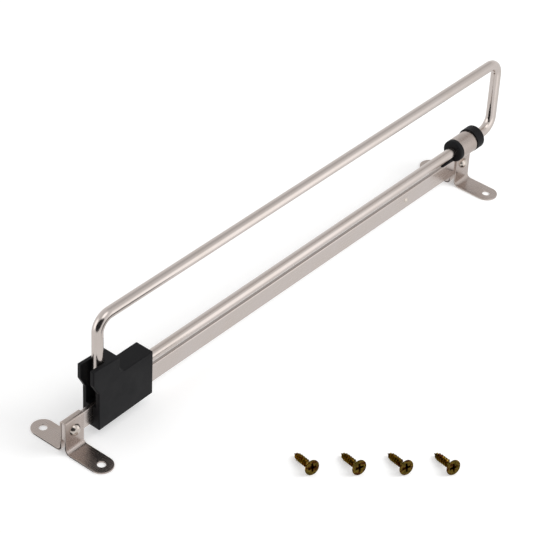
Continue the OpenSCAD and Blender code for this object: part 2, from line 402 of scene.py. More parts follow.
def block(low: Point3, high: Point3) -> bmesh.types.BMesh:
    """Makes a square tool between two corners.

    Args:
        low: Lowest corner.
        high: Highest corner.

    Returns:
        The tool's mesh.
    """
    bm = bmesh.new()
    bmesh.ops.create_cube(bm, size=1)
    middle, size = (Vector(low) + Vector(high)) / 2, Vector(high) - Vector(low)
    return reshape(bm, lambda co: middle + co * size)


def rod_tool(start: Point3, end: Point3, radius: float) -> bmesh.types.BMesh:
    """Makes a round tool between two points.

    Args:
        start: Centre of one end.
        end: Centre of the other end.
        radius: Radius of the tool.

    Returns:
        The tool's mesh.
    """
    way = Vector(end) - Vector(start)
    bm = turned([(0, 0), (radius, 0), (radius, way.length), (0, way.length)])
    bm.transform(standing(Vector(start), way))
    return bm


def cross_tool(reach: float, blade: float, depth: float, top: float) -> bmesh.types.BMesh:
    """Makes the tool that sinks a cross recess into a screw head on the Z axis.

    Args:
        reach: Length of each blade at the head's face.
        blade: Width of each blade at the head's face.
        depth: Depth of the recess.
        top: Height of the head's face.

    Returns:
        The tool's mesh.
    """
    # The recess's sizes at its foot and at its waist are shares of its size at the face. The waist
    # lies at the same share of the depth. The inner corners lie inner_share half blades out.
    foot_share, waist_share, inner_share = 0.45, 0.7, 1.25
    half, wide = reach / 2, blade / 2
    corner = wide * inner_share
    quarter = [(half, -wide), (half, wide), (corner, corner)]
    turns = [Matrix.Rotation(math.radians(90 * k), 2) for k in range(4)]
    outline = [tuple(turn @ Vector(point)) for turn in turns for point in quarter]
    bm = bmesh.new()
    levels = [(top + OVERRUN, 1.0), (top, 1.0), (top - depth * waist_share, waist_share),
              (top - depth, foot_share)]
    rings = [[bm.verts.new((x * share, y * share, z)) for x, y in outline] for z, share in levels]
    for below, above in zip(rings, rings[1:]):
        bridge(bm, below, above)
    cap(bm, rings[:1])
    cap(bm, rings[-1:])
    return bm


# Finishes


def linear(hex_colour: str) -> tuple[float, float, float, float]:
    """Turns an sRGB colour to linear light.

    Args:
        hex_colour: The colour in hex, such as #C8C0BC.

    Returns:
        Its red, green, blue and full alpha.
    """
    parts = [int(hex_colour[i:i + 2], 16) / 255 for i in (1, 3, 5)]
    light = [p / 12.92 if p <= 0.04045 else ((p + 0.055) / 1.055) ** 2.4 for p in parts]
    return (*light, 1.0)


def add(tree: bpy.types.NodeTree, kind: str, links: dict[str | int, Socket] | None = None,
        **settings: object) -> bpy.types.Node:
    """Adds a node with its settings and links.

    Args:
        tree: The tree that it goes into.
        kind: Blender's name of the node type.
        links: Input socket, by name or number, and the output that feeds it.
        **settings: Properties of the node, and values of its input sockets, either by name
            with _ for a space or by number as in_0.

    Returns:
        The node.
    """
    node = tree.nodes.new(kind)
    for name, value in settings.items():
        if hasattr(node, name):
            setattr(node, name, value)
        else:
            key = int(name[3:]) if name.startswith("in_") else name.replace("_", " ")
            node.inputs[key].default_value = value
    for socket, source in (links or {}).items():
        tree.links.new(source, node.inputs[socket])
    return node


def per_metre(size_mm: float) -> float:
    """Turns a pattern's real size to a texture's scale.

    Args:
        size_mm: Size of one repeat in millimetres.

    Returns:
        The scale on coordinates in metres.
    """
    return 1 / (size_mm * MM)


def shaded(name: str, surface: Callable[[bpy.types.NodeTree], Socket]) -> bpy.types.Material:
    """Makes a material from nodes.

    Args:
        name: Name of the material.
        surface: Adds the nodes to an empty tree, and gives the output of their shader.

    Returns:
        The material.
    """
    material = bpy.data.materials.new(name)
    material.use_nodes = True
    tree = material.node_tree
    tree.nodes.clear()
    add(tree, "ShaderNodeOutputMaterial", {"Surface": surface(tree)})
    return material


class Slot(Enum):
    """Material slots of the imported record."""

    STEEL = "plated_steel"
    PLASTIC = "black_plastic"
    ZINC = "yellow_zinc"


@dataclass(frozen=True)
class Finish:
    """A finish with its own material, made once."""

    name: str

    slot: ClassVar[Slot]

    def material(self) -> bpy.types.Material:
        """Gives the finish's material, and makes it the first time."""
        return bpy.data.materials.get(self.name) or shaded(self.name, self.surface)

    def surface(self, tree: bpy.types.NodeTree) -> Socket:
        """Adds the finish's nodes to an empty tree, and gives the output of their shader."""
        raise NotImplementedError


@dataclass(frozen=True)
class NickelPlate(Finish):
    """Bright nickel over drawn, rolled or stamped steel.

    It mirrors the room softly in a warm grey. The steel's own grain shows through the thin
    plate as fine lines along the way it was drawn or rolled, and the plate's thickness
    varies, which gives patches a little warmer or duller than the rest.
    """

    slot: ClassVar[Slot] = Slot.STEEL

    colour: str = "#D9D0CC"
    warm_colour: str = "#CFC4BC"
    roughness: float = 0.15
    dull_roughness: float = 0.23
    # Product of patch and grain at which the plate starts to dull, and at which it is fully dull
    dull_from: float = 0.1
    dull_to: float = 0.45
    # Size of the warm and dull patches, and spacing and length of the grain's lines. Real
    # grain is finer than 0.1 mm and is drawn coarser here so that it shows.
    patch_mm: float = 22.0
    grain_mm: float = 0.45
    grain_length_mm: float = 40.0
    grain_depth_mm: float = 0.003
    # Octaves of the patches' and the grain's noise, how strongly the patches' finer octaves
    # count, and share of the grain's depth that shows
    patch_octaves: float = 3.0
    grain_octaves: float = 2.0
    patch_fineness: float = 0.55
    grain_share: float = 0.5
    # Axis that the grain runs along: 0 for X, 1 for Y
    grain_axis: int = 0

    def surface(self, tree: bpy.types.NodeTree) -> Socket:
        """Adds the nodes of the plate.

        Args:
            tree: The material's empty tree.

        Returns:
            The output of the shader.
        """
        place = add(tree, "ShaderNodeTexCoord").outputs["Object"]
        patches = add(tree, "ShaderNodeTexNoise", {"Vector": place}, Scale=per_metre(self.patch_mm),
                      Detail=self.patch_octaves, Roughness=self.patch_fineness)
        spread = [per_metre(self.grain_mm)] * 3
        spread[self.grain_axis] = per_metre(self.grain_length_mm)
        stretched = add(tree, "ShaderNodeMapping", {"Vector": place}, Scale=spread)
        grain = add(tree, "ShaderNodeTexNoise", {"Vector": stretched.outputs[0]}, Scale=1.0,
                    Detail=self.grain_octaves)
        tint = add(tree, "ShaderNodeMix", {"Factor": patches.outputs["Fac"]}, data_type="RGBA",
                   in_6=linear(self.colour), in_7=linear(self.warm_colour))
        dulling = add(tree, "ShaderNodeMath", {0: patches.outputs["Fac"], 1: grain.outputs["Fac"]},
                      operation="MULTIPLY")
        rough = add(tree, "ShaderNodeMapRange", {"Value": dulling.outputs[0]},
                    From_Min=self.dull_from, From_Max=self.dull_to, To_Min=self.roughness,
                    To_Max=self.dull_roughness)
        relief = add(tree, "ShaderNodeBump", {"Height": grain.outputs["Fac"]},
                     Strength=self.grain_share, Distance=self.grain_depth_mm * MM)
        shader = add(tree, "ShaderNodeBsdfPrincipled",
                     {"Base Color": tint.outputs[2], "Roughness": rough.outputs[0],
                      "Normal": relief.outputs[0]}, Metallic=1.0)
        return shader.outputs[0]


@dataclass(frozen=True)
class MouldedNylon(Finish):
    """Black nylon, moulded in a lightly etched steel mould.

    It is near black with a dull sheen. The etched mould leaves a fine grain on every face,
    and use scuffs it in patches, so broad faces are a little uneven in tone and gloss.
    """

    slot: ClassVar[Slot] = Slot.PLASTIC

    colour: str = "#111113"
    worn_colour: str = "#171719"
    roughness: float = 0.42
    worn_roughness: float = 0.56
    # Patch values at which the scuffed look starts and at which it is full
    worn_from: float = 0.3
    worn_to: float = 0.7
    ior: float = 1.5
    # The etched grain scatters most of what a smooth face would mirror
    specular_level: float = 0.14
    # Size and depth of the grain, and size of the scuffed patches. The real grain is about
    # 0.1 mm and is drawn coarser here so that it shows.
    grain_mm: float = 0.5
    grain_depth_mm: float = 0.012
    patch_mm: float = 12.0
    # Octaves of the patches' and the grain's noise, how strongly the patches' finer octaves
    # count, and share of the grain's depth that shows
    patch_octaves: float = 4.0
    grain_octaves: float = 2.0
    patch_fineness: float = 0.6
    grain_share: float = 0.6

    def surface(self, tree: bpy.types.NodeTree) -> Socket:
        """Adds the nodes of the nylon.

        Args:
            tree: The material's empty tree.

        Returns:
            The output of the shader.
        """
        place = add(tree, "ShaderNodeTexCoord").outputs["Object"]
        patches = add(tree, "ShaderNodeTexNoise", {"Vector": place}, Scale=per_metre(self.patch_mm),
                      Detail=self.patch_octaves, Roughness=self.patch_fineness)
        grain = add(tree, "ShaderNodeTexNoise", {"Vector": place}, Scale=per_metre(self.grain_mm),
                    Detail=self.grain_octaves)
        tint = add(tree, "ShaderNodeMix", {"Factor": patches.outputs["Fac"]}, data_type="RGBA",
                   in_6=linear(self.colour), in_7=linear(self.worn_colour))
        rough = add(tree, "ShaderNodeMapRange", {"Value": patches.outputs["Fac"]},
                    From_Min=self.worn_from, From_Max=self.worn_to, To_Min=self.roughness,
                    To_Max=self.worn_roughness)
        relief = add(tree, "ShaderNodeBump", {"Height": grain.outputs["Fac"]},
                     Strength=self.grain_share, Distance=self.grain_depth_mm * MM)
        shader = add(tree, "ShaderNodeBsdfPrincipled",
                     {"Base Color": tint.outputs[2], "Roughness": rough.outputs[0],
                      "Normal": relief.outputs[0]}, IOR=self.ior,
                     Specular_IOR_Level=self.specular_level)
        return shader.outputs[0]


@dataclass(frozen=True)
class YellowZinc(Finish):
    """Zinc on cold-headed steel, passivated yellow in a dip.

    The dip leaves a golden film whose thickness varies, so its colour drifts between
    yellow, olive and a reddish bronze over a few millimetres.
    """

    slot: ClassVar[Slot] = Slot.ZINC

    olive: str = "#8C7632"
    gold: str = "#C9A84A"
    bronze: str = "#7E4C24"
    # Values of the colour's drift at which each colour is full
    olive_at: float = 0.4
    gold_at: float = 0.5
    bronze_at: float = 0.6
    roughness: float = 0.15
    # Length over which the colour drifts, and size and depth of the blank's small pits. Real
    # pits are about 0.1 mm and are drawn coarser here so that they show.
    drift_mm: float = 3.0
    pit_mm: float = 0.35
    pit_depth_mm: float = 0.01
    # Octaves of the drift's and the pits' noise, and share of the pits' depth that shows
    drift_octaves: float = 2.0
    pit_octaves: float = 2.0
    pit_share: float = 0.5

    def surface(self, tree: bpy.types.NodeTree) -> Socket:
        """Adds the nodes of the passivated zinc.

        Args:
            tree: The material's empty tree.

        Returns:
            The output of the shader.
        """
        place = add(tree, "ShaderNodeTexCoord").outputs["Object"]
        drift = add(tree, "ShaderNodeTexNoise", {"Vector": place}, Scale=per_metre(self.drift_mm),
                    Detail=self.drift_octaves)
        ramp = add(tree, "ShaderNodeValToRGB", {"Fac": drift.outputs["Fac"]})
        stops = ramp.color_ramp.elements
        stops[0].position, stops[0].color = self.olive_at, linear(self.olive)
        stops[1].position, stops[1].color = self.bronze_at, linear(self.bronze)
        stops.new(self.gold_at).color = linear(self.gold)
        pits = add(tree, "ShaderNodeTexNoise", {"Vector": place}, Scale=per_metre(self.pit_mm),
                   Detail=self.pit_octaves)
        relief = add(tree, "ShaderNodeBump", {"Height": pits.outputs["Fac"]},
                     Strength=self.pit_share, Distance=self.pit_depth_mm * MM)
        shader = add(tree, "ShaderNodeBsdfPrincipled",
                     {"Base Color": ramp.outputs[0], "Normal": relief.outputs[0]}, Metallic=1.0,
                     Roughness=self.roughness)
        return shader.outputs[0]


# Drawn wire is the smoothest, so it shows the room as clear bands along its length
DRAWN_WIRE = NickelPlate("nickel_on_drawn_wire")
# Cold rolling leaves a satin face, on which the room is an even tone with soft reflections
ROLLED_BAR = NickelPlate("nickel_on_rolled_bar", colour="#D3CAC7", roughness=0.22,
                         dull_roughness=0.29, grain_depth_mm=0.001)
# Stamped strip is duller, darker and warmer than the wire, with warm, dull patches at random
STAMPED_STRAP = NickelPlate("nickel_on_stamped_strap", colour="#C6BCB8", warm_colour="#B8AAA0",
                            roughness=0.24, dull_roughness=0.34, patch_mm=14.0, grain_axis=1)
# The heading die leaves small patches and a short grain on a fairly bright dome
HEADED_RIVET = NickelPlate("nickel_on_headed_rivet", colour="#D6CDC4", roughness=0.2,
                           dull_roughness=0.27, patch_mm=6.0, grain_length_mm=1.5)
BLACK_NYLON = MouldedNylon("moulded_black_nylon")
SCREW_ZINC = YellowZinc("yellow_passivated_zinc")


class Body(Enum):
    """Bodies that pieces ride on."""

    RAIL = "rail"
    LOOP = "loop"


# Sub-assemblies


# Thickness of the brackets' strip, the rivets' holes in it and in the bar, and the clearance of
# the plastic pieces' slots round the bar
STRAP_T = 1.2
RIVET_HOLE_R = 2.4
BAR_CLEAR = 0.2


@dataclass(frozen=True)
class Seats:
    """Where the frame's solids lie, in millimetres."""

    # Ends, edges and half thickness of the bar
    bar_back: float
    bar_front: float
    bar_low: float
    bar_top: float
    bar_half: float
    # Middles of the brackets along the bar, their strip's width, and how far from the bar's
    # middle plane the screw holes in their feet lie
    rear_x: float
    front_x: float
    strap_w: float
    foot_reach: float
    # Axes of the loop's two long sides and of its two legs
    wire_z: float
    wire_top_z: float
    leg_x: float
    front_leg_x: float
    # Axes of the stop pin, the clamp screw and the rear rivet
    stop_x: float
    clamp_x: float
    rear_rivet_z: float

    @classmethod
    def from_frame(cls, wire_r: float) -> "Seats":
        """Reads the places off the solids' boxes.

        Args:
            wire_r: Radius of the loop's wire.

        Returns:
            The places.
        """
        bar, rear, front, loop, pin, clamp, rivet = (
            tuple(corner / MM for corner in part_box(node))
            for node in ("guide_bar", "rear_bracket", "front_bracket", "rod_loop", "stop_pin",
                         "clamp_screw", "rear_rivet"))
        strap_w = rear[1].x - rear[0].x
        return cls(bar_back=bar[0].x, bar_front=bar[1].x, bar_low=bar[0].z, bar_top=bar[1].z,
                   bar_half=bar[1].y, rear_x=(rear[0].x + rear[1].x) / 2,
                   front_x=(front[0].x + front[1].x) / 2, strap_w=strap_w,
                   foot_reach=front[1].y - strap_w / 2, wire_z=loop[0].z + wire_r,
                   wire_top_z=loop[1].z - wire_r, leg_x=loop[0].x + wire_r,
                   front_leg_x=loop[1].x - wire_r, stop_x=(pin[0].x + pin[1].x) / 2,
                   clamp_x=(clamp[0].x + clamp[1].x) / 2, rear_rivet_z=(rivet[0].z + rivet[1].z) / 2)

    @property
    def bar_mid_z(self) -> float:
        """Height of the bar's middle."""
        return (self.bar_low + self.bar_top) / 2


@dataclass(frozen=True)
class Assembly:
    """A sub-assembly of the rod, which takes its places from the frame's solids."""

    seats: Seats

    body: ClassVar[Body] = Body.RAIL

    def build(self) -> list[bpy.types.Object]:
        """Builds and dresses the sub-assembly's pieces."""
        raise NotImplementedError

    def dress(self, piece: bpy.types.Object, finish: Finish, node: str) -> bpy.types.Object:
        """Gives a piece its finish, shades it, hangs it on its body and hides the solid that it stands
        for.

        Args:
            piece: The piece.
            finish: Its finish.
            node: The solid that it stands for.

        Returns:
            The same piece.
        """
        mesh = piece.data
        mesh.materials.clear()
        mesh.materials.append(finish.material())
        mesh.shade_smooth()
        mesh.set_sharp_from_angle(angle=math.radians(SHARP_ANGLE))
        even = piece.modifiers.new("even_normals", "WEIGHTED_NORMAL")
        even.keep_sharp = True
        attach(piece, self.body.value)
        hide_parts(node)
        return piece


@dataclass(frozen=True)
class WireLoop(Assembly):
    """The closed loop of plated wire that clothes hangers hook over."""

    wire_r: float = 4.0
    bend_r: float = 11.0

    body: ClassVar[Body] = Body.LOOP

    def centre_line(self) -> list[tuple[Vector, Vector]]:
        """Lays the wire's middle line.

        Returns:
            Places along the line, each with the direction out of the loop.
        """
        s = self.seats
        steps = round(90 / BEND_STEP)
        corners = [(s.front_leg_x, s.wire_z, -90), (s.front_leg_x, s.wire_top_z, 0),
                   (s.leg_x, s.wire_top_z, 90), (s.leg_x, s.wire_z, 180)]
        middle_x, middle_z = (s.leg_x + s.front_leg_x) / 2, (s.wire_z + s.wire_top_z) / 2
        line: list[tuple[Vector, Vector]] = []
        for x, z, start in corners:
            centre = (x - math.copysign(self.bend_r, x - middle_x),
                      z - math.copysign(self.bend_r, z - middle_z))
            for px, pz in arc(centre, self.bend_r, start, start + 90, steps):
                place = Vector((px, 0, pz))
                line.append((place, (place - Vector((centre[0], 0, centre[1]))).normalized()))
        return line

    def build(self) -> list[bpy.types.Object]:
        """Sweeps the wire round the loop and dresses it.

        Returns:
            The wire.
        """
        bm = bmesh.new()
        rings = [around(bm, place, out, self.wire_r) for place, out in self.centre_line()]
        for i in range(len(rings)):
            bridge(bm, rings[i - 1], rings[i])
        return [self.dress(piece_from("wire_loop", bm), DRAWN_WIRE, "rod_loop")]


@dataclass(frozen=True)
class GuideBar(Assembly):
    """The flat bar on edge, with the pin that stops the slider."""

    # Rounding of the bar's long edges and of its ends
    edge_r: float = 0.7
    end_r: float = 0.3
    # Shank and head of the pin
    pin_r: float = 1.37
    pin_head_r: float = 2.2
    pin_head_h: float = 1.1

    def build(self) -> list[bpy.types.Object]:
        """Builds and dresses the bar and its pin."""
        return [self.build_bar(), self.build_pin()]

    def build_bar(self) -> bpy.types.Object:
        """Makes the rolled bar with its three holes.

        Returns:
            The bar.
        """
        s = self.seats
        half, low, top, r = s.bar_half, s.bar_low, s.bar_top, self.edge_r
        outline = rounded([(-half, low, r), (half, low, r), (half, top, r), (-half, top, r)],
                          2 * EDGE_STEPS)
        middle = (s.bar_back + s.bar_front) / 2
        bm = reshape(slab([outline], s.bar_front - s.bar_back, self.end_r),
                     lambda co: (co.z + middle, co.x, co.y))
        piece = piece_from("flat_guide_bar", bm)
        reach = s.bar_half + OVERRUN
        holes = [rod_tool((x, -reach, z), (x, reach, z), r) for x, z, r in
                 ((s.rear_x, s.rear_rivet_z, RIVET_HOLE_R), (s.front_x, s.bar_mid_z, RIVET_HOLE_R),
                  (s.stop_x, s.bar_mid_z, self.pin_r))]
        carve(piece, holes, Carve.AWAY)
        return self.dress(piece, ROLLED_BAR, "guide_bar")

    def build_pin(self) -> bpy.types.Object:
        """Makes the domed pin, which is flush with the bar's far side.

        Returns:
            The pin.
        """
        s = self.seats
        bm = turned([(0, -s.bar_half), (self.pin_r, -s.bar_half), (self.pin_r, s.bar_half)]
                    + dome(self.pin_head_r, self.pin_head_h, s.bar_half))
        bm.transform(facing_near(s.stop_x, s.bar_mid_z))
        return self.dress(piece_from("stop_pin_turned", bm), HEADED_RIVET, "stop_pin")


@dataclass(frozen=True)
class Move:
    """One stretch of a bent strip's middle line: straight, or turning left when turn is over 0."""

    length: float
    turn: float = 0.0

    @classmethod
    def bend(cls, radius: float, degrees: float) -> "Move":
        """Makes a bend of a radius through an angle."""
        turn = math.radians(degrees)
        return cls(radius * abs(turn), turn)


@dataclass(frozen=True)
class StripPath:
    """Middle line of a bent strip on (Y, Z), from its top centre to the round end of one foot."""

    start_z: float
    moves: tuple[Move, ...]

    def place(self, reach: float) -> tuple[float, float, float]:
        """Follows the line.

        Args:
            reach: Distance along the line.

        Returns:
            The place's Y and Z, and the heading in radians, where 0 is +Y.
        """
        y, z, heading = 0.0, self.start_z, 0.0
        for move in self.moves:
            step = min(reach, move.length)
            reach -= step
            if move.turn:
                rate = move.turn / move.length
                ahead = heading + rate * step
                y += (math.sin(ahead) - math.sin(heading)) / rate
                z -= (math.cos(ahead) - math.cos(heading)) / rate
                heading = ahead
            else:
                y += math.cos(heading) * step
                z += math.sin(heading) * step
        y += math.cos(heading) * reach
        z += math.sin(heading) * reach
        return y, z, heading

    def marks(self) -> list[float]:
        """Finds where the strip has to be able to bend.

        Returns:
            Distances along the line.
        """
        found, at = [0.0], 0.0
        for move in self.moves:
            steps = max(1, math.ceil(math.degrees(abs(move.turn)) / BEND_STEP))
            found += [at + move.length * (i + 1) / steps for i in range(steps)]
            at += move.length
        return found


@dataclass(frozen=True)
class Bracket(Assembly):
    """A strip of steel, stamped with round ends and four holes, and bent to straddle the bar."""

    # Screw hole in each foot
    hole_r: float = 3.0
    # Inside radius of the bend into each foot, and rounding of the strip's rims
    foot_bend_r: float = 3.2
    rim_r: float = 0.22

    @property
    def upright_y(self) -> float:
        """Distance of an upright's middle from the bar's middle plane."""
        return self.seats.bar_half + STRAP_T / 2

    @property
    def bend_z(self) -> float:
        """Height at which an upright starts to bend into its foot."""
        return STRAP_T + self.foot_bend_r

    def foot(self, top_z: float) -> tuple[Move, ...]:
        """Gives the moves down an upright and out along its foot.

        Args:
            top_z: Height at which the upright starts.

        Returns:
            The upright, the bend and the foot as far as the middle of its round end.
        """
        middle_r = self.foot_bend_r + STRAP_T / 2
        flat = self.seats.foot_reach - self.upright_y - middle_r
        return Move(top_z - self.bend_z), Move.bend(middle_r, 90), Move(flat)

    def formed(self, name: str, centre: Point2, path: StripPath, top_z: float) -> bpy.types.Object:
        """Stamps the flat blank, bends it along its path and makes the piece.

        Args:
            name: Name of the piece.
            centre: Place of the rivet's axis along the bar and over the board.
            path: The strip's middle line.
            top_z: Height at which the uprights start.

        Returns:
            The piece.
        """
        half = self.seats.strap_w / 2
        tip = sum(move.length for move in path.moves)
        upright = tip - sum(move.length for move in self.foot(top_z))
        rivet = upright + top_z - centre[1]
        steps = ROUND_STEPS // 2
        outline = arc((tip, 0), half, -90, 90, steps) + arc((-tip, 0), half, 90, 270, steps)
        holes = [ring((side * at, 0), radius, clockwise=True) for side in (-1, 1)
                 for at, radius in ((tip, self.hole_r), (rivet, RIVET_HOLE_R))]
        blank = slab([outline, *holes], STRAP_T, self.rim_r)
        marks = path.marks()
        score(blank, (1, 0, 0), sorted({side * mark for mark in marks for side in (-1, 1)}))

        def bent(co: Vector) -> Point3:
            """Puts a point of the flat blank where the bent strip has it.

            Args:
                co: The point, with the strip's length on X.

            Returns:
                Its place on the rod.
            """
            y, z, heading = path.place(abs(co.x))
            return (centre[0] + co.y, math.copysign(y - math.sin(heading) * co.z, co.x),
                    z + math.cos(heading) * co.z)

        return piece_from(name, reshape(blank, bent))


@dataclass(frozen=True)
class RearBracket(Bracket):
    """The bracket that saddles the bar's rear end."""

    # Outside radius of the two bends over the bar
    saddle_r: float = 1.7

    def build(self) -> list[bpy.types.Object]:
        """Forms and dresses the bracket.

        Returns:
            The bracket.
        """
        s = self.seats
        middle_r = self.saddle_r - STRAP_T / 2
        top = s.bar_top + STRAP_T / 2
        flat = self.upright_y - middle_r
        path = StripPath(top, (Move(flat), Move.bend(middle_r, -90), *self.foot(top - middle_r)))
        piece = self.formed("rear_saddle_bracket", (s.rear_x, s.rear_rivet_z), path, top - middle_r)
        return [self.dress(piece, STAMPED_STRAP, "rear_bracket")]


@dataclass(frozen=True)
class FrontBracket(Bracket):
    """The bracket whose band closes round the bush."""

    # Inside radii of the band and of the bends from it into the uprights
    inner_r: float = 7.48
    fillet_r: float = 1.4

    def build(self) -> list[bpy.types.Object]:
        """Forms and dresses the bracket.

        Returns:
            The bracket.
        """
        s = self.seats
        band_r, turn_r = self.inner_r + STRAP_T / 2, self.fillet_r + STRAP_T / 2
        aside = self.upright_y + turn_r
        drop = math.sqrt((band_r + turn_r) ** 2 - aside ** 2)
        lap = math.degrees(math.atan2(aside, drop))
        top_z = s.wire_z - drop
        path = StripPath(s.wire_z + band_r, (Move.bend(band_r, lap - 180),
                                             Move.bend(turn_r, 90 - lap), *self.foot(top_z)))
        piece = self.formed("front_band_bracket", (s.front_x, s.bar_mid_z), path, top_z)
        return [self.dress(piece, STAMPED_STRAP, "front_bracket")]


@dataclass(frozen=True)
class Rivet(Assembly):
    """A domed rivet through a bracket and the bar, clenched on the far side."""

    # Names of the piece and of its solid, and place of the axis
    name: str
    node: str
    x: float
    z: float
    head_r: float
    head_h: float = 3.3
    shank_r: float = 2.37
    # Clenched tail, and the dimple in its crown
    tail_r: float = 3.8
    tail_h: float = 1.4
    dimple_r: float = 1.5
    dimple_h: float = 0.45

    def build(self) -> list[bpy.types.Object]:
        """Turns and dresses the rivet.

        Returns:
            The rivet.
        """
        grip = self.seats.bar_half + STRAP_T
        tail = [(r, -h) for r, h in reversed(dome(self.tail_r, self.tail_h, grip))]
        # The clenching punch leaves a shallow round dimple in the tail's crown
        tail = [(0, self.dimple_h - grip - self.tail_h)] + [p for p in tail if p[0] > self.dimple_r]
        bm = turned(tail + [(self.shank_r, -grip), (self.shank_r, grip)]
                    + dome(self.head_r, self.head_h, grip))
        bm.transform(facing_near(self.x, self.z))
        return [self.dress(piece_from(self.name, bm), HEADED_RIVET, self.node)]


@dataclass(frozen=True)
class Bush(Assembly):
    """The plastic bush in the front bracket's band, with a collar each side and a tongue."""

    # Running bore round the wire, with a rounded lip at each end, and the neck inside the band
    bore_r: float = 4.08
    lip_r: float = 0.4
    neck_r: float = 7.45
    # Collars, each with its length and its rounding, and how far the front one's top stands proud
    collar_r: float = 8.68
    rear_l: float = 4.2
    rear_round: float = 1.4
    front_l: float = 8.3
    front_round: float = 0.7
    front_rise: float = 1.2
    # Tongue: its length behind the rear collar, and its thickness at the tip and at the root
    tongue_l: float = 12.0
    tip_t: float = 0.7
    root_t: float = 3.3
    # Line in the rear collar where the bush snaps open: its width, depth and angle from the top
    split_w: float = 0.35
    split_depth: float = 0.5
    split_angle: float = 48.0

    def rear_profile(self) -> list[Point2]:
        """Lays the section of the neck and the rear collar.

        Returns:
            Points as radius and place from the band's middle.
        """
        half = self.seats.strap_w / 2
        back, lip = -half - self.rear_l, self.lip_r
        return (arc((self.bore_r + lip, back + lip), lip, 180, 270, EDGE_STEPS)
                + arc((self.collar_r - self.rear_round, back + self.rear_round), self.rear_round,
                      -90, 0, 2 * EDGE_STEPS)
                + [(self.collar_r, -half), (self.neck_r, -half), (self.neck_r, half + self.front_l / 2),
                   (self.bore_r, half + self.front_l / 2)])

    def front_collar(self) -> bmesh.types.BMesh:
        """Makes the front collar, whose axis lies over the wire's, so that its top stands proud.

        Returns:
            The collar, with the wire along the Z axis.
        """
        half, lift, r = self.seats.strap_w / 2, self.front_rise / 2, self.front_round
        outer, fore = self.collar_r + lift, half + self.front_l
        edge = arc((outer - r, fore - r), r, 0, 90, 2 * EDGE_STEPS)
        bm = turned([(0, half), (outer, half), *edge, (0, fore)])
        bm.transform(Matrix.Translation((-lift, 0, 0)))
        return bm

    def bore_tool(self) -> bmesh.types.BMesh:
        """Makes the tool for the front collar's bore and the rounded lip at its end.

        Returns:
            The tool, with the wire along the Z axis.
        """
        half, lip = self.seats.strap_w / 2, self.lip_r
        fore = half + self.front_l
        lip_line = arc((self.bore_r + lip, fore - lip), lip, 180, 90, EDGE_STEPS)
        return turned([(0, -half), (self.bore_r, -half), *lip_line, (self.bore_r + lip, fore + OVERRUN),
                       (0, fore + OVERRUN)])

    def build(self) -> list[bpy.types.Object]:
        """Builds and dresses the bush.

        Returns:
            The bush.
        """
        s = self.seats
        place = (Matrix.Translation((s.front_x, 0, s.wire_z))
                 @ Matrix.Rotation(math.radians(90), 4, "Y"))
        shapes = [turned(self.rear_profile()), self.front_collar(), self.bore_tool()]
        for shape in shapes:
            shape.transform(place)
        rear, collar, bore = shapes
        piece = piece_from("split_bush", rear)
        back = s.front_x - s.strap_w / 2 - self.rear_l
        fore = s.front_x + s.strap_w / 2 + self.front_l
        notch = s.bar_half + BAR_CLEAR
        carve(piece, [collar], Carve.JOIN)
        carve(piece, [bore, block((back - OVERRUN, -notch, 0), (fore + OVERRUN, notch, s.bar_top)),
                      self.split(back)], Carve.AWAY)
        carve(piece, [self.tongue(back)], Carve.JOIN)
        return [self.dress(piece, BLACK_NYLON, "front_bush")]

    def split(self, back: float) -> bmesh.types.BMesh:
        """Makes the tool for the fine radial line in the rear collar, where the bush snaps open.

        Args:
            back: Place of the rear collar's face along the bar.

        Returns:
            The tool's mesh.
        """
        half = self.split_w / 2
        bm = block((back - OVERRUN, -half, self.bore_r - OVERRUN),
                   (back + self.split_depth, half, self.collar_r + OVERRUN))
        bm.transform(Matrix.Translation((0, 0, self.seats.wire_z))
                     @ Matrix.Rotation(math.radians(self.split_angle), 4, "X"))
        return bm

    def tongue(self, back: float) -> bmesh.types.BMesh:
        """Makes the tongue that lies on the bar under the wire.

        Args:
            back: Place of the rear collar's face along the bar.

        Returns:
            The tongue's mesh.
        """
        s = self.seats
        top, tip, fore = s.bar_top, back - self.tongue_l, back + self.rear_l / 2
        soft = self.tip_t / 3
        outline = rounded([(tip, top, soft), (fore, top, soft), (fore, top + self.root_t, soft),
                           (back, top + self.root_t, soft), (tip, top + self.tip_t, soft)])
        return reshape(slab([outline], 2 * s.bar_half, soft), lambda co: (co.x, co.z, co.y))


